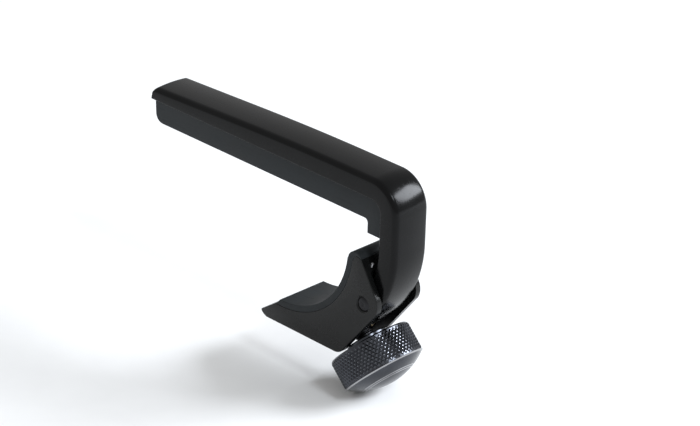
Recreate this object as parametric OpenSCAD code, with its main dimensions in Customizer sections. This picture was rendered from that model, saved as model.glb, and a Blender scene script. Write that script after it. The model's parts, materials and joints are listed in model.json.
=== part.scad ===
// Screw-closed capo for a classical guitar: a hooked frame with a rubber string pad, and a jaw
// hinged behind the neck that a thumbscrew swings up against the neck.
// +X runs along the bar towards the arm, +Y along the neck, and +Z up, away from the fingerboard.
// The origin is the middle of the string pad's pressing face.

/* [Frame] */
// Width of the bar and of the arm, along the neck
bar_w = 9; // [8.6:0.1:9.2]
// Thickness of the arm, and of the bar where it is level
bar_t = 4.5; // [4.3:0.1:4.6]
// Thickness of the bar at its bass end
end_t = 3; // [2.8:0.1:3.4]
// Radius of the frame's outer edges
shoulder = 1.2; // [1:0.1:1.4]
// Bass end of the bar
bar_end = -32; // [-32.5:0.5:-31.5]
// Lean of the bar's end face, in degrees
end_lean = 12; // [6:1:16]
// Inner face of the arm
arm_x = 32.9; // [32.8:0.1:33.1]
// Radius of the frame's inside corner
corner_r = 2.5; // [2:0.1:3]
// Height at which the arm starts to bend under the neck
bend_z = -5; // [-5.4:0.1:-4.6]
// Inside radius of that bend
bend_r = 19; // [18.8:0.1:19.2]
// Thickness of the hook where the screw goes through
hook_t = 2.5; // [2.3:0.1:2.6]

/* [String pad] */
// Thickness of the pad under the bar
pad_t = 4.8; // [4.4:0.1:5.2]
// Width of the pad, along the neck
pad_w = 8; // [7:0.1:8.6]
// Half the length of the pad's pressing face
pad_half = 29.2; // [28.6:0.1:29.6]
// How far the pad's foot reaches down the arm
foot_z = -2.9; // [-4:0.1:-1.5]

/* [Jaw] */
// Width of the jaw, along the neck
jaw_w = 12; // [11.6:0.1:12.6]
// Width of the slot that takes the frame
slot_w = 9.4; // [9.3:0.1:9.6]
// Radius of the jaw's seat, under its rubber
seat_r = 19.4; // [19.2:0.1:19.6]
// Thickness of the rubber on the seat
liner_t = 1.3; // [1:0.1:1.6]
// Level of the jaw's flat underside
jaw_z = -30.1; // [-30.3:0.1:-29.9]

/* [Screw and knob] */
// Radius of the screw
screw_r = 2; // [1.9:0.05:2.1]
// Radius of the thread insert
insert_r = 2.8; // [2.6:0.1:2.9]
// Radius of the knob over its knurling
knob_r = 8.6; // [8.2:0.1:8.8]
// Height of the knurled band
knurl_h = 6.5; // [6:0.1:6.8]
// Height of the knob's dome
dome_h = 2.7; // [2.2:0.1:3]
// Radius of the hinge pin
pin_r = 1.5; // [1.4:0.05:1.6]

/* [Fit] */
// Radial clearance of what turns or slides
running = 0.05; // [0.03:0.01:0.08]
// How far the jaw swings open from rest, in degrees
open_swing = 12; // [10:1:12]
// How far the jaw swings closed from rest, in degrees
close_swing = 5; // [3:1:5]

/* [Hidden] */
$fn = 96;

// the bar's top falls in a straight line from here to the bass end
level_x = 8;
corner_x = arm_x - corner_r;
corner_z = pad_t - corner_r;
bend_x = arm_x - bend_r;

// the hinge, and the screw's line at 45 degrees: screw_arm is its distance from the hinge
pin_x = 30.6;
pin_z = -17;
screw_arm = 10.9;
hub_r = 3.3;

// stations along the screw, counted inwards from the point abreast of the hinge
hook_in = -0.6;
spot_s = hook_in - hook_t;
tip_s = 0.2;
knob_s = -5.6;
tip_r = 1.65;
tip_dome_r = 2.5;
tip_top = 1.78;
nose_r = 0.9;
nose_len = 0.65;
neck_r = 4.4;
neck_len = 0.9;
shank_in_knob = 5;
rim_chamfer = 0.2;
dome_r = knob_r - 0.4;

// the hook ends this far past the screw's line, and is sunk this much inside the arm's faces
hook_past = 3.9;
hook_sink = 0.03;
spot_r = 3.8;

// the neck's cradle
seat_x = 8.2;
seat_z = -6.6;
prong_x = 28.95;
prong_z = -8.5;
prong_r = 1.1;
pad_end_r = 2;
pad_foot_r = 0.8;

// the jaw's side: its tip, the end of its seat, its heel's arc and the arc round the hinge
jaw_tip = [[2.6, -28.8], [3, -29.5]];
jaw_tip_x = 4.2;
seat_end = [9.1, -24.2];
liner_end = [[6.45, -26.3], [8.5, -24.2]];
heel_x = 23.2;
heel_r = 3.2;
hinge_end = [30.9, -16.4];
hinge_end_r = 3.6;
heel_turn = -42;
prong_turn = 30;
cap_wall = 0.75;
pocket_r = 15.7;
pocket_gap = 0.2;

// the return spring sits beside the hub, on the hinge pin
wire_r = 0.25;
wire_sides = 8;
coil_r = 2.05;
coil_turns = 3;
coil_y = -3.95;
coil_pitch = 0.52;
lip_lean = 17;
lip_leg = 8;
arm_lean = -5;
arm_leg = 5;
leg_room = 0.35;
well_r = 2.55;
well_depth = 2.25;

big = 60;

// points of an arc, centre (x, z), from angle a to angle b
function arc(x, z, r, a, b, steps = 12) =
    [for (i = [0 : steps]) let (t = a + (b - a) * i / steps) [x + r * cos(t), z + r * sin(t)]];

// ---- helpers ----

// a flat outline in X and Z, made thick along Y
module slab(width) {
    rotate([90, 0, 0]) linear_extrude(width, center = true) children();
}

// puts local +Z along the screw, inwards, with local +X towards the hinge
module along_screw() {
    translate([pin_x, 0, pin_z]) rotate([0, -45, 0]) translate([-screw_arm, 0, 0]) children();
}

// a disc on the screw's line, from station a to station b
module disc(r, a, b) {
    translate([0, 0, a]) cylinder(h = b - a, r = r);
}

// a round bar along Y through the hinge
module hinge_bar(r, width) {
    translate([pin_x, width / 2, pin_z]) rotate([90, 0, 0]) cylinder(h = width, r = r);
}

// section of the frame: X across it, Y from its inner face outwards
function section_points(width, thick) = let (side = width / 2 - shoulder, rise = thick - shoulder)
    concat([[-width / 2, 0], [width / 2, 0]], arc(side, rise, shoulder, 0, 90, 5),
        arc(-side, rise, shoulder, 90, 180, 5));

module section(width = bar_w) {
    polygon(section_points(width, bar_t));
}

// a solid skinned over rings of points, all of one length and turning the same way
module skinned(rings) {
    sides = len(rings[0]);
    last = (len(rings) - 1) * sides;
    polyhedron(
        points = [for (ring = rings) each ring],
        faces = concat(
            [[for (k = [0 : sides - 1]) k]],
            [for (i = [0 : len(rings) - 2], k = [0 : sides - 1])
                let (here = i * sides, next = (k + 1) % sides)
                [here + next, here + k, here + sides + k, here + sides + next]],
            [[for (k = [sides - 1 : -1 : 0]) last + k]]));
}

// the section swept round an arc in the X-Z plane, from +X
module swept(x, z, r, angle) {
    translate([x, 0, z]) rotate([90, 0, 0])
        rotate_extrude(angle = angle) translate([r, 0]) rotate(-90) section();
}

// ---- frame ----

function bar_ring(x, thick) =
    [for (p = section_points(bar_w, thick)) [x, p.x, pad_t + p.y]];

// the bar thins evenly from level_x to its bass end
module bar() {
    fall = (bar_t - end_t) / (level_x - bar_end);
    difference() {
        skinned([bar_ring(bar_end - 1, end_t - fall), bar_ring(level_x, bar_t),
            bar_ring(corner_x, bar_t)]);
        translate([bar_end, 0, pad_t]) rotate([0, end_lean, 0])
            translate([-5, 0, 0]) cube([10, 2 * bar_w, 4 * bar_t], center = true);
    }
}

module arm() {
    swept(corner_x, corner_z, corner_r, 90);
    translate([arm_x, 0, bend_z]) linear_extrude(corner_z - bend_z) rotate(-90) section();
    swept(bend_x, bend_z, bend_r, -45);
}

// the straight end of the arm, a hair smaller all round so that it starts inside the bend
module hook() {
    length = screw_arm + hook_past - (pin_x + pin_z - bend_x - bend_z) / sqrt(2);
    translate([bend_x, 0, bend_z]) rotate([90, 0, 0]) rotate(-45)
        translate([bend_r - hook_sink, 1, 0]) rotate([90, 0, 0])
        linear_extrude(length + 1) rotate(-90) section(bar_w - 2 * hook_sink);
}

// the hub round the hinge pin, kept inside the arm's flat sides
module hub() {
    intersection() {
        hinge_bar(hub_r, bar_w - 2 * hook_sink);
        slab(bar_w) translate([bend_x, bend_z]) circle(bend_r + bar_t - shoulder - 0.3);
    }
}

module frame() {
    color([0.06, 0.06, 0.065]) difference() {
        union() {
            bar();
            difference() {
                union() {
                    arm();
                    hook();
                }
                along_screw() translate([-big + screw_arm - 2, -big / 2, hook_in])
                    cube([big, big, big / 4]);
            }
            hub();
        }
        hinge_bar(pin_r + running, 2 * bar_w);
        along_screw() disc(insert_r, -big / 4, big / 4);
        along_screw() disc(spot_r, -big / 4, spot_s);
        translate([pin_x, -bar_w / 2 + well_depth, pin_z]) rotate([90, 0, 0])
            cylinder(h = bar_w, r = well_r);
        spring_slots();
    }
}

// a brass bush pressed in the hook; its thread is left plain
module thread_insert() {
    color([0.72, 0.58, 0.3]) along_screw() difference() {
        disc(insert_r, spot_s, hook_in);
        disc(screw_r + running, spot_s - 1, hook_in + 1);
    }
}

// ---- string pad ----

module string_pad() {
    color([0.09, 0.1, 0.11]) slab(pad_w) difference() {
        polygon(concat(
            [[-pad_half - pad_end_r - 0.2, pad_t], [-pad_half - pad_end_r - 0.1, pad_t - 0.3]],
            arc(-pad_half, pad_end_r, pad_end_r, 180, 270, 6),
            arc(pad_half - pad_foot_r, -pad_foot_r, pad_foot_r, 90, 0, 6),
            [[pad_half, foot_z], [arm_x, foot_z], [arm_x, corner_z]],
            arc(corner_x, corner_z, corner_r, 0, 90, 1)));
        polygon(concat([[arm_x + 1, corner_z], [arm_x + 1, pad_t + 1], [corner_x, pad_t + 1]],
            arc(corner_x, corner_z, corner_r, 90, 0, 24)));
    }
}

// ---- jaw ----

module jaw_outline() {
    difference() {
        polygon(concat(
            jaw_tip, [[jaw_tip_x, jaw_z]],
            arc(heel_x, jaw_z + heel_r, heel_r, -90, heel_turn),
            arc(hinge_end.x, hinge_end.y, hinge_end_r, heel_turn, prong_turn),
            arc(prong_x, prong_z, prong_r, prong_turn, 180),
            [[20, prong_z], seat_end]));
        translate([seat_x, seat_z]) circle(seat_r, $fn = 160);
    }
}

// room for the frame in the jaw, through the whole swing
module pocket() {
    intersection() {
        translate([pin_x, pin_z]) circle(pocket_r);
        translate([pin_x, pin_z]) rotate(45 - open_swing)
            translate([-big, -big + hook_in + pocket_gap]) square([big + 1, big]);
    }
    translate([pin_x, pin_z]) circle(hub_r + 0.3);
    difference() {
        translate([pin_x, pin_z]) rotate(45) translate([-1.5, -20]) square([20, 40]);
        translate([pin_x, pin_z]) rotate(close_swing) translate([bend_x - pin_x, bend_z - pin_z])
            circle(bend_r - 0.3);
    }
}

module jaw() {
    color([0.07, 0.07, 0.075]) difference() {
        slab(jaw_w) jaw_outline();
        slab(slot_w) pocket();
        hinge_bar(pin_r, 2 * jaw_w);
        spring_slots();
    }
}

// the rubber on the seat, carried over the prong's tip
module jaw_liner() {
    color([0.09, 0.1, 0.11]) slab(jaw_w) difference() {
        union() {
            intersection() {
                translate([seat_x, seat_z]) circle(seat_r, $fn = 160);
                polygon(concat(liner_end, [[24, prong_z], [40, prong_z], [40, -40],
                    [liner_end[0].x, -40]]));
            }
            intersection() {
                translate([prong_x - cap_wall, prong_z]) circle(prong_r + cap_wall);
                translate([20, prong_z]) square(20);
            }
        }
        translate([seat_x, seat_z]) circle(seat_r - liner_t, $fn = 160);
        translate([prong_x, prong_z]) circle(prong_r);
    }
}

module hinge_pin() {
    color([0.2, 0.2, 0.21]) hinge_bar(pin_r, jaw_w);
}

// ---- return spring: a close coil, one leg on the jaw's lip and one on the arm ----

// the coil starts and ends where each leg leaves it at a tangent
coil_start = 180 - lip_lean;
coil_end = 360 * coil_turns - arm_lean;

function coil_at(a) = let (y = coil_y + coil_pitch * (a - coil_start) / 360)
    [pin_x + coil_r * cos(a), y, pin_z + coil_r * sin(a)];
function up(lean, length) = length * [sin(lean), 0, cos(lean)];
function unit(v) = v / norm(v);

// the wire's centre line: down the lip's leg, round the coil, and up the arm's leg
spring_path = concat(
    [coil_at(coil_start) + up(lip_lean, lip_leg)],
    [for (a = [coil_start : (coil_end - coil_start) / 60 : coil_end + 0.1]) coil_at(a)],
    [coil_at(coil_end) + up(arm_lean, arm_leg)]);

// a ring of the wire round one point of its path; the path never runs along Y
function wire_ring(path, i) =
    let (
        ahead = path[min(i + 1, len(path) - 1)],
        back = path[max(i - 1, 0)],
        side = unit(cross(ahead - back, [0, 1, 0])),
        other = unit(cross(side, ahead - back))
    )
    [for (k = [0 : wire_sides - 1]) let (t = 360 * k / wire_sides)
        path[i] + wire_r * (side * cos(t) + other * sin(t))];

// a slot for a leg, open to the near side and as deep as depth
module leg_slot(start, lean, length, depth) {
    translate([start.x, -slot_w / 2, start.z]) rotate([0, lean, 0])
        translate([-leg_room, 0, 0]) cube([2 * leg_room, depth, length]);
}

module spring_slots() {
    leg_slot(coil_at(coil_start), lip_lean, lip_leg + 1, 1.1);
    leg_slot(coil_at(coil_end), arm_lean, arm_leg + 1, well_depth + (slot_w - bar_w) / 2);
}

module return_spring() {
    color([0.75, 0.75, 0.77]) skinned([for (i = [0 : len(spring_path) - 1]) wire_ring(spring_path, i)]);
}

// ---- screw and knob ----

module adjuster_screw() {
    color([0.55, 0.56, 0.58]) along_screw() {
        disc(screw_r, knob_s - shank_in_knob, tip_s);
        disc(nose_r, tip_s, tip_s + nose_len);
    }
}

// the nylon tip that the screw turns in, and that pushes the jaw
module screw_tip() {
    color([0.85, 0.83, 0.76]) along_screw() difference() {
        intersection() {
            disc(tip_r, tip_s + running, tip_top);
            translate([0, 0, tip_top - tip_dome_r]) sphere(tip_dome_r);
        }
        disc(nose_r + running, 0, tip_s + nose_len + running);
    }
}

module knob() {
    color([0.1, 0.1, 0.11]) along_screw() difference() {
        union() {
            disc(neck_r, knob_s, knob_s + neck_len);
            translate([0, 0, knob_s]) rotate_extrude() polygon([
                [0, 0], [knob_r - rim_chamfer, 0], [knob_r, -rim_chamfer],
                [knob_r, rim_chamfer - knurl_h], [knob_r - rim_chamfer, -knurl_h], [0, -knurl_h]]);
            knob_dome();
        }
        disc(screw_r, knob_s - shank_in_knob, big / 4);
    }
}

module knob_dome() {
    base = knob_s - knurl_h;
    ball_r = (pow(dome_r, 2) + pow(dome_h, 2)) / (2 * dome_h);
    intersection() {
        translate([0, 0, base - dome_h + ball_r]) sphere(ball_r);
        disc(knob_r, base - dome_h, base + 0.5);
    }
}

frame();
string_pad();
thread_insert();
jaw();
jaw_liner();
hinge_pin();
return_spring();
adjuster_screw();
screw_tip();
knob();
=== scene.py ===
# %% [markdown]
# # A screw-closed guitar capo
# The capo is a hooked frame that lies over the strings, and a jaw behind the neck that a
# thumbscrew swings shut. The engineering model comes first, as a fixed frame that nothing here
# may move. Each visible piece is then modelled again round it, with rounded edges, knurling and
# real finishes, and rides on the same body as the plain part that it stands for.

# %% Load the frame
import json
import math

import bmesh
import bpy
from mathutils import Matrix, Vector


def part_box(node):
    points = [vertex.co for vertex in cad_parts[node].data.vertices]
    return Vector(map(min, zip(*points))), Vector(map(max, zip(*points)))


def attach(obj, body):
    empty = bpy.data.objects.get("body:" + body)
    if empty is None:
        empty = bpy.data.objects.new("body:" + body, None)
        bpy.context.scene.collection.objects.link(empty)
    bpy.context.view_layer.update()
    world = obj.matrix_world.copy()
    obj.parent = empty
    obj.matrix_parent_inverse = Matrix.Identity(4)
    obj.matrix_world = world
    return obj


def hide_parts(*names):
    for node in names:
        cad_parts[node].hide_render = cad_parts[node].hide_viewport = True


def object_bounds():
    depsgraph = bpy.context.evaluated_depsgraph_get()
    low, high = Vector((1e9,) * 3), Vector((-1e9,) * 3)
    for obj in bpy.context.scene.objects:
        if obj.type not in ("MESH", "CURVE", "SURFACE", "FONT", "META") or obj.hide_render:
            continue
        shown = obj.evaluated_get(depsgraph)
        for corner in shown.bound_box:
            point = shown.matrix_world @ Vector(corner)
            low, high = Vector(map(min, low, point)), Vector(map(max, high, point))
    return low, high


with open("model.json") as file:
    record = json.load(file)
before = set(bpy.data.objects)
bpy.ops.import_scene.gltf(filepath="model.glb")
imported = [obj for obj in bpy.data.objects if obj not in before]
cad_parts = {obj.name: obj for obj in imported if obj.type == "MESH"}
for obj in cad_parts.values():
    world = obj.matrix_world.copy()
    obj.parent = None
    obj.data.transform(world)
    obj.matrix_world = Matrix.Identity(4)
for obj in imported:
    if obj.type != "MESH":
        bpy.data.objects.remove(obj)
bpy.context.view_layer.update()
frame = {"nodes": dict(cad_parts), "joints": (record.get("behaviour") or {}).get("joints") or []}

# %% [markdown]
# ## Measures taken from the frame
# A maker thinks in millimetres, so every piece is modelled in millimetres and shrunk by 1000
# when it is finished. The few driving measures are read off the imported parts, so the looks
# can't drift away from the engineering parts.

# %% Boxes and joints in millimetres
MM = 1000.0


def box_mm(node):
    low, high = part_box(node)
    return low * MM, high * MM


joints = {joint["name"]: joint for joint in frame["joints"]}
hinge = Vector(joints["jaw_swing"]["pos_m"]) * MM
screw_foot = Vector(joints["knob_turn"]["pos_m"]) * MM
screw_in = Vector(joints["knob_turn"]["axis"]).normalized()

frame_low, frame_high = box_mm("frame")
pad_low, pad_high = box_mm("string_pad")
jaw_low, jaw_high = box_mm("jaw")
bar_width = frame_high.y - frame_low.y
bar_bottom = pad_high.z
bar_thick = frame_high.z - bar_bottom
arm_inner = pad_high.x
print(f"bar {bar_width:.2f} wide and {bar_thick:.2f} thick, arm's inner face at x = {arm_inner:.2f}")

# %% [markdown]
# The screw leans at 45 degrees. Everything turned on it is modelled upright, with its own Z
# along the screw and pointing into the jaw, and then carried into place by one matrix.

# %% The screw's own frame
across = Vector((0, 1, 0)).cross(screw_in).normalized()
screw_place = Matrix((across, Vector((0, 1, 0)), screw_in)).transposed().to_4x4()
screw_place.translation = screw_foot
hinge_place = Matrix.Translation(hinge) @ Matrix.Rotation(math.radians(-90), 4, "X")


def along_screw(node):
    """Lowest and highest station of a part along the screw, and its largest radius."""
    points = [v.co * MM - screw_foot for v in frame["nodes"][node].data.vertices]
    stations = [p.dot(screw_in) for p in points]
    radii = [(p - p.dot(screw_in) * screw_in).length for p in points]
    return min(stations), max(stations), max(radii)


knob_end, knob_neck, knob_radius = along_screw("knob")
print(f"knob from {knob_end:.2f} to {knob_neck:.2f} along the screw, radius {knob_radius:.2f}")

# %% [markdown]
# ## Helpers for shaping
# Three moves make almost every piece here: a flat outline pushed to a thickness, a profile
# spun round an axis, and a sharp edge broken with a small bevel. Real moulded and turned parts
# never have a razor edge, and the thin highlight along a broken edge is what makes them read
# as solid.


# %% Outlines
def arc(x, z, radius, start, end, steps):
    """Points of an arc in a flat outline, angles in degrees."""
    turns = [math.radians(start + (end - start) * i / steps) for i in range(steps + 1)]
    return [(x + radius * math.cos(t), z + radius * math.sin(t)) for t in turns]


def flat_face(bm, points, place):
    """One face from a closed outline; place turns an outline point into a 3-D point."""
    return bm.faces.new([bm.verts.new(place(*p)) for p in points])


def push(bm, face, by):
    """Extrude one face by a vector, and return the face at the far end."""
    made = bmesh.ops.extrude_face_region(bm, geom=[face])["geom"]
    bmesh.ops.translate(bm, verts=[g for g in made if isinstance(g, bmesh.types.BMVert)], vec=by)
    return next(g for g in made if isinstance(g, bmesh.types.BMFace))


def swing(bm, face, centre, axis, degrees, steps, rise=0.0):
    """Spin one face round an axis, and return the face at the far end."""
    axis = Vector(axis)
    last = bmesh.ops.spin(
        bm, geom=[face], cent=centre, axis=axis, dvec=axis * rise / steps,
        angle=math.radians(degrees), steps=steps, use_merge=False, use_duplicate=False)
    return next(g for g in last["geom_last"] if isinstance(g, bmesh.types.BMFace))


def close_sweep(bm):
    """Delete the sections left inside a sweep, and turn every outer face outwards."""
    inside = [f for f in bm.faces if all(len(e.link_faces) > 2 for e in f.edges)]
    bmesh.ops.delete(bm, geom=inside, context="FACES_ONLY")
    bmesh.ops.recalc_face_normals(bm, faces=bm.faces[:])


def plate(points, width):
    """A slab of an X-Z outline, centred on the capo's middle plane."""
    bm = bmesh.new()
    face = flat_face(bm, points, lambda x, z: (x, -width / 2, z))
    push(bm, face, (0, width, 0))
    bmesh.ops.recalc_face_normals(bm, faces=bm.faces[:])
    return bm


# %% Turned shapes and broken edges
def lathe(profile, place, steps=96):
    """Spin a profile of (radius, height) points a full turn round Z, then put it in place."""
    bm = bmesh.new()
    chain = [bm.verts.new((radius, 0, height)) for radius, height in profile]
    edges = [bm.edges.new(pair) for pair in zip(chain, chain[1:])]
    bmesh.ops.spin(bm, geom=chain + edges, cent=(0, 0, 0), axis=(0, 0, 1), dvec=(0, 0, 0),
                   angle=math.tau, steps=steps, use_merge=True, use_duplicate=False)
    bmesh.ops.remove_doubles(bm, verts=bm.verts[:], dist=1e-4)
    bmesh.ops.recalc_face_normals(bm, faces=bm.faces[:])
    bmesh.ops.transform(bm, matrix=place, verts=bm.verts[:])
    return bm


def break_edges(bm, edges, size, segments=3):
    bmesh.ops.bevel(bm, geom=list(edges), offset=size, offset_type="OFFSET", segments=segments,
                    profile=0.5, affect="EDGES", clamp_overlap=True, material=-1)


def rim_edges(bm, limit=35.0):
    """Edges where two faces meet more sharply than the limit, in degrees."""
    return [e for e in bm.edges
            if len(e.link_faces) == 2 and math.degrees(e.calc_face_angle(0.0)) > limit]


# %% [markdown]
# Holes are drilled last, by subtracting a cutter.


# %% Finish a piece, and drill holes
def as_object(name, bm):
    mesh = bpy.data.meshes.new(name)
    bm.to_mesh(mesh)
    bm.free()
    piece = bpy.data.objects.new(name, mesh)
    bpy.context.scene.collection.objects.link(piece)
    return piece


def joined_with(bm, other, how):
    """Boolean of two closed shapes, as a new bmesh: how is DIFFERENCE, UNION or INTERSECT."""
    piece, tool = as_object("work", bm), as_object("tool", other)
    step = piece.modifiers.new("step", "BOOLEAN")
    step.operation, step.object, step.solver = how, tool, "EXACT"
    seen = piece.evaluated_get(bpy.context.evaluated_depsgraph_get())
    result = bmesh.new()
    result.from_mesh(seen.to_mesh())
    for scrap in (piece, tool):
        mesh = scrap.data
        bpy.data.objects.remove(scrap)
        bpy.data.meshes.remove(mesh)
    return result


def finish_piece(name, bm, body, nodes, materials, sharp=40.0):
    bmesh.ops.scale(bm, vec=(1 / MM,) * 3, verts=bm.verts[:])
    for face in bm.faces:
        face.smooth = True
    for edge in bm.edges:
        edge.smooth = math.degrees(edge.calc_face_angle(0.0)) < sharp
    piece = as_object(name, bm)
    for material in materials:
        piece.data.materials.append(material)
    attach(piece, body)
    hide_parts(*nodes)
    print(f"{name}: {len(piece.data.polygons)} faces on {body}")
    return piece


# %% [markdown]
# ## Finishes
# Nearly every surface is black, so the finishes differ in gloss and in the small relief that
# breaks up a reflection. Each material is one shader with noise that changes its roughness from
# place to place, and a bump at the real grain's size.


# %% A shader with mottled roughness and a fine grain
CLOUD_MM = 6
SCUFF_LENGTH_MM, SCUFF_WIDTH_MM, SCUFF_GAP_MM = 12, 0.5, 0.8
SCUFF_TURN = (0.3, 0.2, 0.5)


def finish(name, colour, rough, metal=0.0, grain_mm=0.2, relief_mm=0.004, mottle=0.06,
           specular=0.5, tint=0.25, scuffs=0.12):
    """Mottle varies the roughness, scuffs roughen fine streaks, relief is the grain's height."""
    material = bpy.data.materials.new(name)
    material.use_nodes = True
    nodes, links = material.node_tree.nodes, material.node_tree.links
    shader = nodes["Principled BSDF"]
    shader.inputs["Metallic"].default_value = metal
    shader.inputs["Specular IOR Level"].default_value = specular
    coords = nodes.new("ShaderNodeTexCoord")

    cloud = nodes.new("ShaderNodeTexNoise")
    cloud.inputs["Scale"].default_value = MM / CLOUD_MM
    cloud.inputs["Detail"].default_value = 4
    links.new(coords.outputs["Object"], cloud.inputs["Vector"])

    spread = nodes.new("ShaderNodeMapRange")
    spread.inputs["From Min"].default_value = 0.3
    spread.inputs["From Max"].default_value = 0.7
    spread.inputs["To Min"].default_value = rough - mottle
    spread.inputs["To Max"].default_value = rough + mottle
    links.new(cloud.outputs["Fac"], spread.inputs["Value"])

    stretch = nodes.new("ShaderNodeMapping")
    scuff_sizes = (SCUFF_LENGTH_MM, SCUFF_WIDTH_MM, SCUFF_GAP_MM)
    stretch.inputs["Scale"].default_value = [MM / size for size in scuff_sizes]
    stretch.inputs["Rotation"].default_value = SCUFF_TURN
    links.new(coords.outputs["Object"], stretch.inputs["Vector"])
    streaks = nodes.new("ShaderNodeTexNoise")
    streaks.inputs["Scale"].default_value = 1.0
    links.new(stretch.outputs["Vector"], streaks.inputs["Vector"])
    marks = nodes.new("ShaderNodeMapRange")
    marks.inputs["From Min"].default_value = 0.62
    marks.inputs["From Max"].default_value = 0.74
    marks.inputs["To Max"].default_value = scuffs
    links.new(streaks.outputs["Fac"], marks.inputs["Value"])
    total = nodes.new("ShaderNodeMath")
    total.operation = "ADD"
    links.new(spread.outputs["Result"], total.inputs[0])
    links.new(marks.outputs["Result"], total.inputs[1])
    links.new(total.outputs["Value"], shader.inputs["Roughness"])

    shades = nodes.new("ShaderNodeValToRGB")
    shades.color_ramp.elements[0].position = 0.3
    shades.color_ramp.elements[0].color = (*[c * (1 - tint) for c in colour], 1)
    shades.color_ramp.elements[1].position = 0.7
    shades.color_ramp.elements[1].color = (*[c * (1 + tint) for c in colour], 1)
    links.new(cloud.outputs["Fac"], shades.inputs["Fac"])
    links.new(shades.outputs["Color"], shader.inputs["Base Color"])

    grain = nodes.new("ShaderNodeTexNoise")
    grain.inputs["Scale"].default_value = MM / grain_mm
    grain.inputs["Detail"].default_value = 3
    links.new(coords.outputs["Object"], grain.inputs["Vector"])
    bump = nodes.new("ShaderNodeBump")
    bump.inputs["Strength"].default_value = 0.5
    bump.inputs["Distance"].default_value = relief_mm / MM
    links.new(grain.outputs["Fac"], bump.inputs["Height"])
    links.new(bump.outputs["Normal"], shader.inputs["Normal"])
    return material


satin_black = finish("satin_black", (0.0025, 0.0026, 0.0028), 0.2, grain_mm=0.8,
                     relief_mm=0.003, mottle=0.03, specular=0.15)
matt_black = finish("matt_black", (0.005, 0.0053, 0.0053), 0.27, grain_mm=0.12,
                    relief_mm=0.0025, specular=0.25)
black_rubber = finish("black_rubber", (0.014, 0.017, 0.019), 0.6, grain_mm=0.25,
                      relief_mm=0.01, specular=0.25)
black_metal = finish("black_metal", (0.055, 0.058, 0.066), 0.22, metal=1.0, grain_mm=0.15,
                     relief_mm=0.002)
worn_black = finish("worn_black", (0.15, 0.155, 0.17), 0.22, metal=1.0, grain_mm=0.1,
                    relief_mm=0.002)
cut_metal = finish("cut_metal", (0.34, 0.34, 0.35), 0.3, metal=1.0, grain_mm=0.1, relief_mm=0.002)
bright_steel = finish("bright_steel", (0.55, 0.55, 0.57), 0.28, metal=1.0, grain_mm=0.1)
black_steel = finish("black_steel", (0.028, 0.028, 0.03), 0.42, metal=1.0, grain_mm=0.15)
brass = finish("brass", (0.62, 0.45, 0.18), 0.3, metal=1.0, grain_mm=0.12)
nylon = finish("nylon", (0.74, 0.71, 0.6), 0.45, grain_mm=0.2)
print("finishes:", len(bpy.data.materials))

# %% [markdown]
# ## The frame
# On the real capo this is one moulding: a bar that thickens from its bass end, a tight corner,
# and an arm that bends in under the neck. It could be carved from a block, but such a moulding
# is really one section carried along a path, so it is made that way: the section is drawn once
# at the bass end, grown over a few short steps that round that end, and then pushed along the
# straights and spun round the bends.

# %% The section, half drawn and half mirrored
CROWN_R = 30.0
SHOULDER = 1.2
INNER_BREAK = 0.25


def frame_section(width, thick, shoulder=SHOULDER):
    """Outline across the frame: rounded shoulders, and a top that is very nearly flat."""
    crown_z = thick - CROWN_R
    side_x = width / 2 - shoulder
    side_z = crown_z + math.sqrt((CROWN_R - shoulder) ** 2 - side_x ** 2)
    meet = math.degrees(math.atan2(side_z - crown_z, side_x))
    right = arc(width / 2 - INNER_BREAK, INNER_BREAK, INNER_BREAK, -90, 0, 4)
    right += arc(side_x, side_z, shoulder, 0, meet, 12)
    right += arc(0, crown_z, CROWN_R, meet, 90, 6)[1:]
    return right + [(-x, z) for x, z in reversed(right[:-1])]


# %% Carry the section along the bar, the corner, the arm and the hook
CORNER_R = 2.5
BEND_R = 19.0
BEND_Z = -5.0
END_LEAN = math.tan(math.radians(12))
END_THICK = 3.0
END_ROUND = 1.1
END_STEPS = 8
LEVEL_X = 8.0
BLEND = 14.0
HOOK_PAST = 3.9
corner = Vector((arm_inner - CORNER_R, 0, bar_bottom - CORNER_R))
bend = Vector((arm_inner - BEND_R, 0, BEND_Z))
hook_way = Vector((-1, 0, -1)).normalized()
hook_start = bend + Vector((1, 0, -1)).normalized() * BEND_R
hook_length = (screw_foot - hook_start).dot(hook_way) + HOOK_PAST

fall = (bar_thick - END_THICK) / (LEVEL_X - frame_low.x)


def thickness_lost(x):
    """How much thinner the bar is at x than where it is level, blended over the bend."""
    into = LEVEL_X + BLEND - x
    if into <= 0:
        return 0.0
    return fall * (into ** 2 / (4 * BLEND) if into < 2 * BLEND else LEVEL_X - x)


def end_outline(degrees):
    """The rounded bass end's outline in space, from the end face (0) to the full section (90)."""
    turn = math.radians(degrees)
    cut = END_ROUND * (1 - math.sin(turn))
    start = frame_low.x + END_ROUND * (1 - math.cos(turn))
    outline = frame_section(bar_width, END_THICK - cut, SHOULDER - cut)
    return [(start + v * END_LEAN, y, bar_bottom + v) for y, v in outline]


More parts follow.
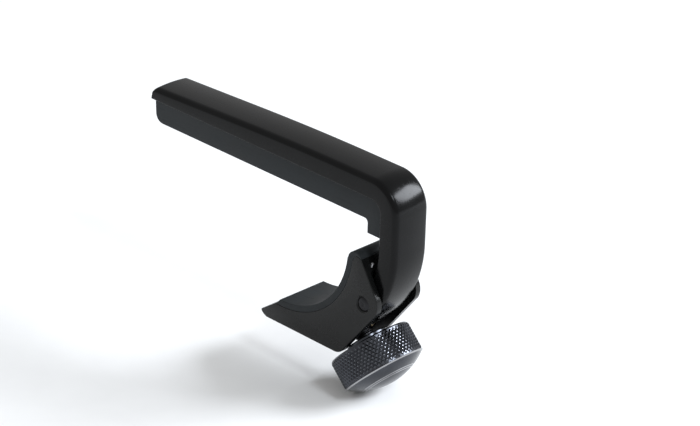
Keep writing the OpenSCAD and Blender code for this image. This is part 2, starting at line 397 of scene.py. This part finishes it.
body = bmesh.new()
face = flat_face(body, end_outline(0), lambda *point: point)
for step in range(1, END_STEPS + 1):
    face = push(body, face, (0, 0, 0))
    for vert, point in zip(face.verts, end_outline(90 * step / END_STEPS)):
        vert.co = point
lost = thickness_lost(frame_low.x)
for station in [LEVEL_X + BLEND * (i / 6 - 1) for i in range(13)] + [corner.x]:
    face = push(body, face, (0, 0, 0))
    gain = lost - thickness_lost(station)
    lost -= gain
    for vert in face.verts:
        vert.co.x = station
        if vert.co.z > bar_bottom + 1:
            vert.co.z += gain
face = swing(body, face, corner, (0, 1, 0), 90, 20)
face = push(body, face, (0, 0, BEND_Z - corner.z))
face = swing(body, face, bend, (0, 1, 0), 45, 20)
hook_cap = push(body, face, hook_way * hook_length)
close_sweep(body)
break_edges(body, list(hook_cap.edges), 0.4, 3)
print("frame carried round, hook", round(hook_length, 2), "long")

# %% [markdown]
# The hook is thinned on its inside, and a hub is left round the hinge pin. The holes for the
# pin, the bush and the spring's well are drilled afterwards, each with its own cutter.

# %% Thin the hook, add the hub and drill
HOOK_INNER = -0.6
SPOT_FACE = -3.1
SCREW_ARM = (hinge - screw_foot).length
HUB_R = 3.2
PIN_HOLE_R = 1.55
WELL_R, WELL_DEPTH = 2.55, 2.25
SPOT_R = 3.8
BUSH_HOLE_R = 2.8
PAST = 9


def rod(radius, low, high, place, steps=64):
    return lathe([(0, low), (radius, low), (radius, high), (0, high)], place, steps)


def block(low, high, place):
    bm = bmesh.new()
    bmesh.ops.create_cube(bm, size=1.0)
    bmesh.ops.scale(bm, vec=Vector(high) - Vector(low), verts=bm.verts[:])
    bmesh.ops.translate(bm, vec=(Vector(high) + Vector(low)) / 2, verts=bm.verts[:])
    bmesh.ops.transform(bm, matrix=place, verts=bm.verts[:])
    return bm


hub_half = bar_width / 2 - 0.03
hook_room = block((-30, -PAST, HOOK_INNER), (SCREW_ARM - 2, PAST, 12), screw_place)
body = joined_with(body, hook_room, "DIFFERENCE")
bend_place = Matrix.Translation(bend) @ Matrix.Rotation(math.radians(-90), 4, "X")
bend_rod = rod(BEND_R + bar_thick - SHOULDER - 0.35, -PAST, PAST, bend_place, 128)
hub = joined_with(rod(HUB_R, -hub_half, hub_half, hinge_place), bend_rod, "INTERSECT")
body = joined_with(body, hub, "UNION")
cutters = [rod(WELL_R, bar_width / 2 - WELL_DEPTH, PAST, hinge_place),
           rod(PIN_HOLE_R, -PAST, PAST, hinge_place),
           rod(SPOT_R, -PAST, SPOT_FACE, screw_place),
           rod(BUSH_HOLE_R, -PAST, PAST, screw_place)]
for cutter in cutters:
    body = joined_with(body, cutter, "DIFFERENCE")
finish_piece("frame_moulding", body, "frame", ["frame"], [satin_black])

# %% [markdown]
# ## The string pad
# A strip of black rubber under the bar, a little narrower than it, so that a thin shadow runs
# between the two. It turns down the inside of the arm as a short foot. One outline pushed to
# the pad's width is enough, with its long edges well rounded, as soft rubber is moulded.

# %% The pad's outline
PAD_HALF = 29.2
PAD_END_R = 2.0
PAD_FOOT_R = 0.8
pad_outline = [(pad_low.x, pad_high.z), (pad_low.x + 0.1, pad_high.z - 0.3)]
pad_outline += arc(-PAD_HALF, PAD_END_R, PAD_END_R, 180, 270, 8)
pad_outline += arc(PAD_HALF - PAD_FOOT_R, -PAD_FOOT_R, PAD_FOOT_R, 90, 0, 8)
pad_outline += [(PAD_HALF, pad_low.z), (arm_inner, pad_low.z), (arm_inner, corner.z)]
pad_outline += arc(corner.x, corner.z, CORNER_R, 0, 90, 16)[1:]
pad = plate(pad_outline, pad_high.y - pad_low.y)
break_edges(pad, rim_edges(pad, 60), 0.3)
finish_piece("string_pad_rubber", pad, "frame", ["string_pad"], [black_rubber])

# %% [markdown]
# ## The jaw
# Two cheeks joined under the neck by a curved web. It is one black moulding with a fine matt
# grain. It is easiest as a solid slab of its side outline, with the neck's curve already in
# that outline, and then the room for the frame's arm and hook taken out of the middle.

# %% The jaw's outline
SEAT = Vector((8.2, 0, -6.6))
SEAT_R = 19.4
PRONG = Vector((28.95, 0, -8.5))
PRONG_R = 1.1
PRONG_TURN = 30
HEEL_X, HEEL_R, HEEL_TURN = 23.2, 3.2, -42
HINGE_END_X, HINGE_END_Z, HINGE_END_R = 30.9, -16.4, 3.6
seat_left, seat_right = -94.1, math.degrees(math.asin((PRONG.z - SEAT.z) / SEAT_R))

jaw_outline = [(2.6, -28.8), (2.7, -29.15), (3.0, -29.5), (3.5, -29.85), (4.2, jaw_low.z)]
jaw_outline += arc(HEEL_X, jaw_low.z + HEEL_R, HEEL_R, -90, HEEL_TURN, 12)
jaw_outline += arc(HINGE_END_X, HINGE_END_Z, HINGE_END_R, HEEL_TURN, PRONG_TURN, 20)
jaw_outline += arc(PRONG.x, PRONG.z, PRONG_R, PRONG_TURN, 180, 14)
jaw_outline += arc(SEAT.x, SEAT.z, SEAT_R, seat_right, seat_left, 60)
jaw = plate(jaw_outline, jaw_high.y - jaw_low.y)
break_edges(jaw, rim_edges(jaw, 60), 0.4, 4)

# %% [markdown]
# The room inside has to clear the frame through the whole swing: a fan below the web for the
# hook, a round space for the hub, and the sweep of the arm above it.

# %% Clear the inside of the jaw
SLOT_WIDTH = 9.4
OPEN_SWING, CLOSE_SWING = [abs(a) for a in joints["jaw_swing"]["range_deg"]]
FAN_R = 15.7
HUB_ROOM_R = 3.6
SWEEP_OUT = 14
SWEEP_RIGHT = 48
fan_lift = HOOK_INNER + 0.2
fan_tip = math.degrees(math.asin(fan_lift / FAN_R))
fan_start = 225 - OPEN_SWING - fan_tip
fan_end = 405 - OPEN_SWING + fan_tip
fan = plate(arc(hinge.x, hinge.z, FAN_R, fan_start, fan_end, 48), SLOT_WIDTH)

turn = Matrix.Rotation(math.radians(-CLOSE_SWING), 4, "Y")
arm_centre = hinge + turn @ (bend - hinge)
arm_r = BEND_R - 0.3
reach = (-1.5 - (arm_centre - hinge).dot(Vector((1, 0, 1)).normalized())) / arm_r
low_turn = 45 - math.degrees(math.acos(reach))
sweep = arc(arm_centre.x, arm_centre.z, arm_r, low_turn, 25, 40)
drop = (sweep[0][0] + SWEEP_OUT, sweep[0][1] - SWEEP_OUT)
sweep += [(SWEEP_RIGHT, sweep[-1][1]), (SWEEP_RIGHT, drop[1]), drop]

hub_room = rod(HUB_ROOM_R, -SLOT_WIDTH / 2, SLOT_WIDTH / 2, hinge_place)
for room in [fan, hub_room, plate(sweep, SLOT_WIDTH)]:
    jaw = joined_with(jaw, room, "DIFFERENCE")

# %% Drill and countersink the hinge hole
half = jaw_high.y
pin_hole = lathe([(0, -half - 1), (2.9, -half - 1), (1.5, -half + 0.25), (1.5, half - 0.25),
                  (2.9, half + 1), (0, half + 1)], hinge_place, 64)
jaw = joined_with(jaw, pin_hole, "DIFFERENCE")
finish_piece("jaw_moulding", jaw, "jaw", ["jaw"], [matt_black])

# %% [markdown]
# ## The jaw's rubber
# The neck lies on a strip of rubber as wide as the jaw. It follows the seat and is carried over
# the prong, so the neck never touches hard plastic.

# %% The liner
LINER_THICK = 1.3
CAP_WALL = 0.75
LINER_R = SEAT_R - LINER_THICK
liner_left = -90.6
liner_right = math.degrees(math.asin((PRONG.z - SEAT.z) / LINER_R))
liner_outline = arc(SEAT.x, SEAT.z, SEAT_R, seat_left, seat_right, 60)
liner_outline += arc(PRONG.x, PRONG.z, PRONG_R, 180, 40, 12)
liner_outline += arc(PRONG.x - CAP_WALL, PRONG.z, PRONG_R + CAP_WALL, 30, 170, 16)
liner_outline += arc(SEAT.x, SEAT.z, LINER_R, liner_right, liner_left, 60)
liner = plate(liner_outline, jaw_high.y - jaw_low.y)
break_edges(liner, rim_edges(liner, 60), 0.16)
finish_piece("jaw_liner_rubber", liner, "jaw", ["jaw_liner"], [black_rubber])

# %% [markdown]
# ## The hinge pin
# A plain black pin pressed through both cheeks, with broken ends and a small centre mark left
# by the lathe.

# %% Turn the pin
pin_profile = [(0, -half + 0.35), (0.35, -half + 0.12), (1.1, -half + 0.1), (1.48, -half + 0.4)]
pin_profile += [(radius, -height) for radius, height in reversed(pin_profile)]
pin = lathe(pin_profile, hinge_place, 64)
finish_piece("hinge_pin_steel", pin, "jaw", ["hinge_pin"], [black_steel])

# %% [markdown]
# ## The return spring
# Close-wound wire beside the hub, which opens the jaw as the screw is backed out. A disc the
# size of the wire is spun round the hinge while it climbs, and its two ends are then pushed out
# straight as the legs.

# %% Wind the spring
WIRE_R, COIL_R, COIL_Y, COIL_PITCH = 0.25, 2.05, -3.95, 0.52
LIP_LEAN, LIP_LEG, ARM_LEAN, ARM_LEG, COIL_TURNS = 17, 8.0, -5, 5.0, 3
start_angle = math.radians(180 - LIP_LEAN)
coil_degrees = 360 * COIL_TURNS - ARM_LEAN - (180 - LIP_LEAN)
outward = Vector((math.cos(start_angle), 0, math.sin(start_angle)))
coil_start = Vector((hinge.x, COIL_Y, hinge.z)) + outward * COIL_R


def leg_way(lean):
    return Vector((math.sin(math.radians(lean)), 0, math.cos(math.radians(lean))))


spring = bmesh.new()
ring = [coil_start + WIRE_R * (outward * math.cos(t) + Vector((0, 1, 0)) * math.sin(t))
        for t in [math.tau * i / 12 for i in range(12)]]
first = spring.faces.new([spring.verts.new(p) for p in ring])
last = swing(spring, first, (hinge.x, COIL_Y, hinge.z), (0, -1, 0), coil_degrees, 120,
             rise=-COIL_PITCH * coil_degrees / 360)
push(spring, last, leg_way(ARM_LEAN) * ARM_LEG)
push(spring, first, leg_way(LIP_LEAN) * LIP_LEG)
close_sweep(spring)
finish_piece("return_spring_wire", spring, "frame", ["return_spring"],
             [bright_steel])

# %% [markdown]
# ## The screw, its bush and its tip
# A 4 mm screw runs through a brass bush in the hook. The thread is a real ridge: a small
# triangle spun round the core while it climbs one pitch a turn.

# %% Turn the core and wind the thread
PITCH = 0.7
core_low, core_high, screw_radius = along_screw("adjuster_screw")
thread_low, thread_high = knob_neck - 0.2, core_high - 0.9
core_r = screw_radius - 0.32
screw = lathe([(0, core_low), (core_r, core_low), (core_r, thread_high + 0.1),
               (core_r - 0.2, thread_high + 0.25), (0.9, thread_high + 0.25), (0.9, core_high),
               (0, core_high)], Matrix.Identity(4), 64)
turns = (thread_high - thread_low) / PITCH - 1
tooth = [(core_r - 0.03, -0.29), (screw_radius, -0.05), (screw_radius, 0.05), (core_r - 0.03, 0.29)]
start_face = flat_face(screw, tooth, lambda r, z: (r, 0, thread_low + PITCH / 2 + z))
swing(screw, start_face, (0, 0, 0), (0, 0, 1), 360 * turns, int(turns * 36), rise=PITCH * turns)
bmesh.ops.recalc_face_normals(screw, faces=screw.faces[:])
bmesh.ops.transform(screw, matrix=screw_place, verts=screw.verts[:])
finish_piece("adjuster_screw_thread", screw, "knob", ["adjuster_screw"],
             [black_steel])

# %% The brass bush
bush_low, bush_high, bush_r = along_screw("thread_insert")
bush = lathe([(2.05, bush_low + 0.2), (2.25, bush_low), (bush_r - 0.15, bush_low),
              (bush_r, bush_low + 0.15), (bush_r, bush_high - 0.15), (bush_r - 0.15, bush_high),
              (2.25, bush_high), (2.05, bush_high - 0.2), (2.05, bush_low + 0.2)],
             screw_place, 72)
finish_piece("thread_bush_brass", bush, "frame", ["thread_insert"], [brass])

# %% The nylon tip
tip_low, tip_high, tip_r = along_screw("screw_tip")
DOME_R = 2.5
dome_edge = math.degrees(math.acos(tip_r / DOME_R))
tip_profile = [(0, tip_high - 0.85), (0.95, tip_high - 0.85), (0.95, tip_low),
               (tip_r - 0.1, tip_low), (tip_r, tip_low + 0.1)]
tip_profile += arc(0, tip_high - DOME_R, DOME_R, dome_edge, 90, 10)
tip = lathe(tip_profile, screw_place, 64)
finish_piece("screw_tip_nylon", tip, "tip", ["screw_tip"], [nylon])

# %% [markdown]
# ## The knob
# A turned and blackened metal knob. Its band has a diamond knurl: two sets of grooves that lean
# about 36 degrees either side of the axis and leave rows of small points. A bump map would
# flatten out at the knob's edge, so the points are real. A fine grid is spun round the axis,
# every other crossing is raised, and each cell is folded along its low diagonal.

# %% The knob's profile
KNURL_COLUMNS, KNURL_ROWS, KNURL_DEPTH = 120, 10, 0.26
BAND_IN = -5.6
DOME_HEIGHT = 2.7
band_out = knob_end + DOME_HEIGHT
low_r = knob_radius - KNURL_DEPTH
dome_base = knob_radius - 0.4
ball_r = (dome_base ** 2 + DOME_HEIGHT ** 2) / (2 * DOME_HEIGHT)
ball_z = knob_end + ball_r


def dome_at(radius, cut=0.0):
    return radius, ball_z + cut - math.sqrt(ball_r ** 2 - radius ** 2)


GROOVES = (5.5, 4.9)
knurl_top, knurl_end = BAND_IN - 0.3, band_out + 0.3
knurl_step = (knurl_top - knurl_end) / KNURL_ROWS
profile = [(0, knob_neck - 0.3), (1.6, knob_neck - 0.3), (1.9, knob_neck), (4.2, knob_neck),
           (4.4, knob_neck - 0.2), (4.4, BAND_IN), (low_r - 0.35, BAND_IN),
           (low_r - 0.25, BAND_IN - 0.03), (low_r - 0.03, BAND_IN - 0.22), (low_r, knurl_top)]
profile += [(low_r, knurl_top - knurl_step * i) for i in range(1, KNURL_ROWS + 1)]
profile += [(knob_radius - 0.04, band_out + 0.24), (knob_radius - 0.03, band_out + 0.22),
            (dome_base - 0.03, band_out)]
profile += [dome_at(dome_base - 0.35 * i) for i in range(1, 7)]
for groove in GROOVES:
    profile += [dome_at(groove + 0.16), dome_at(groove + 0.03, 0.13), dome_at(groove - 0.03, 0.13),
                dome_at(groove - 0.16)]
profile += [dome_at(4.4 - 0.44 * i) for i in range(10)] + [(0, knob_end)]
knob = lathe(profile, Matrix.Identity(4), KNURL_COLUMNS)
print("knob profile of", len(profile), "points, columns", KNURL_COLUMNS)


# %% Raise the knurl's points
def knurl_cell(vert):
    """Column and row of a vertex in the knurled band, or None outside it."""
    radius = math.hypot(vert.co.x, vert.co.y)
    row = (knurl_top - vert.co.z) / knurl_step
    if abs(radius - low_r) > 0.02 or not -0.01 < row < KNURL_ROWS + 0.01:
        return None
    column = math.atan2(vert.co.y, vert.co.x) / math.tau * KNURL_COLUMNS
    return round(column) % KNURL_COLUMNS, round(row)


cells = {vert: knurl_cell(vert) for vert in knob.verts}
band = [f for f in knob.faces if len(f.verts) == 4 and all(cells[v] for v in f.verts)]
high = {v for v, cell in cells.items()
        if cell and (cell[0] + cell[1]) % 2 and 0 < cell[1] < KNURL_ROWS}
for cell_face in band:
    low_corners = [v for v in cell_face.verts if (cells[v][0] + cells[v][1]) % 2 == 0]
    bmesh.utils.face_split(cell_face, *low_corners)
for vert in high:
    out = Vector((vert.co.x, vert.co.y, 0)).normalized()
    vert.co += out * (KNURL_DEPTH - 0.02)
bmesh.ops.bevel(knob, geom=list(high), offset=0.13, offset_type="OFFSET", segments=1,
                profile=0.5, affect="VERTICES", clamp_overlap=True, material=-1)
for ring_face in knob.faces:
    middle = ring_face.calc_center_median()
    radius = math.hypot(middle.x, middle.y)
    on_rim = radius > dome_base - 0.1 and middle.z < band_out + 0.23
    in_groove = middle.z < band_out and min(abs(radius - g) for g in GROOVES) < 0.14
    on_crest = all(math.hypot(v.co.x, v.co.y) > low_r + KNURL_DEPTH / 2 for v in ring_face.verts)
    in_band = knurl_end < middle.z < knurl_top
    if on_rim or in_groove:
        ring_face.material_index = 1
    elif on_crest and in_band:
        ring_face.material_index = 2
bmesh.ops.transform(knob, matrix=screw_place, verts=knob.verts[:])
finish_piece("knob_turned", knob, "knob", ["knob"],
             [black_metal, cut_metal, worn_black], sharp=18.0)

# %% [markdown]
# ## Floor, light and camera
# A pale floor, a soft bright room, and two soft boxes: a large one behind on the right that the
# corner and the knurling catch, and a small one above on the right that widens the sparkle.

# %% The floor
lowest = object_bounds()[0].z
floor_bm = bmesh.new()
bmesh.ops.create_grid(floor_bm, x_segments=4, y_segments=4, size=1.5)
bmesh.ops.translate(floor_bm, vec=(0, 0, lowest), verts=floor_bm.verts[:])
floor = as_object("floor", floor_bm)
floor_paint = finish("floor_paint", (0.82, 0.82, 0.815), 0.75, grain_mm=3, relief_mm=0.004,
                     mottle=0.02, specular=0.2, tint=0.01)
floor.data.materials.append(floor_paint)

# %% The room
scene = bpy.context.scene
world = bpy.data.worlds.new("pale_room")
scene.world = world
world.use_nodes = True
world.node_tree.nodes["Background"].inputs["Color"].default_value = (1.0, 1.0, 1.0, 1)
world.node_tree.nodes["Background"].inputs["Strength"].default_value = 0.6


def soft_box(name, towards, distance, size, power, colour):
    """A rectangular lamp in a given direction from the capo, facing it."""
    lamp = bpy.data.lights.new(name, "AREA")
    lamp.shape, lamp.size, lamp.size_y = "RECTANGLE", size[0], size[1]
    lamp.energy, lamp.color = power, colour
    holder = bpy.data.objects.new(name, lamp)
    scene.collection.objects.link(holder)
    holder.location = Vector(towards).normalized() * distance
    holder.rotation_euler = (-holder.location).to_track_quat("-Z", "Y").to_euler()
    return holder


soft_box("right_box", (0.56, 0.64, 0.5), 1.0, (0.5, 0.45), 15.0, (0.9, 0.94, 1.0))
soft_box("top_box", (0.69, -0.13, 0.71), 1.0, (0.2, 0.2), 3.0, (0.88, 0.94, 1.0))

# %% The camera
camera_data = bpy.data.cameras.new("camera")
camera_data.sensor_width = 36.0
camera_data.lens = 150.5
camera_data.clip_start = 0.01
camera = bpy.data.objects.new("camera", camera_data)
scene.collection.objects.link(camera)
camera.location = (0.37514, -0.36168, 0.24277)
camera.rotation_euler = [math.radians(a) for a in (64.095, -1.590, 45.196)]
scene.camera = camera
scene.view_settings.view_transform = "Standard"
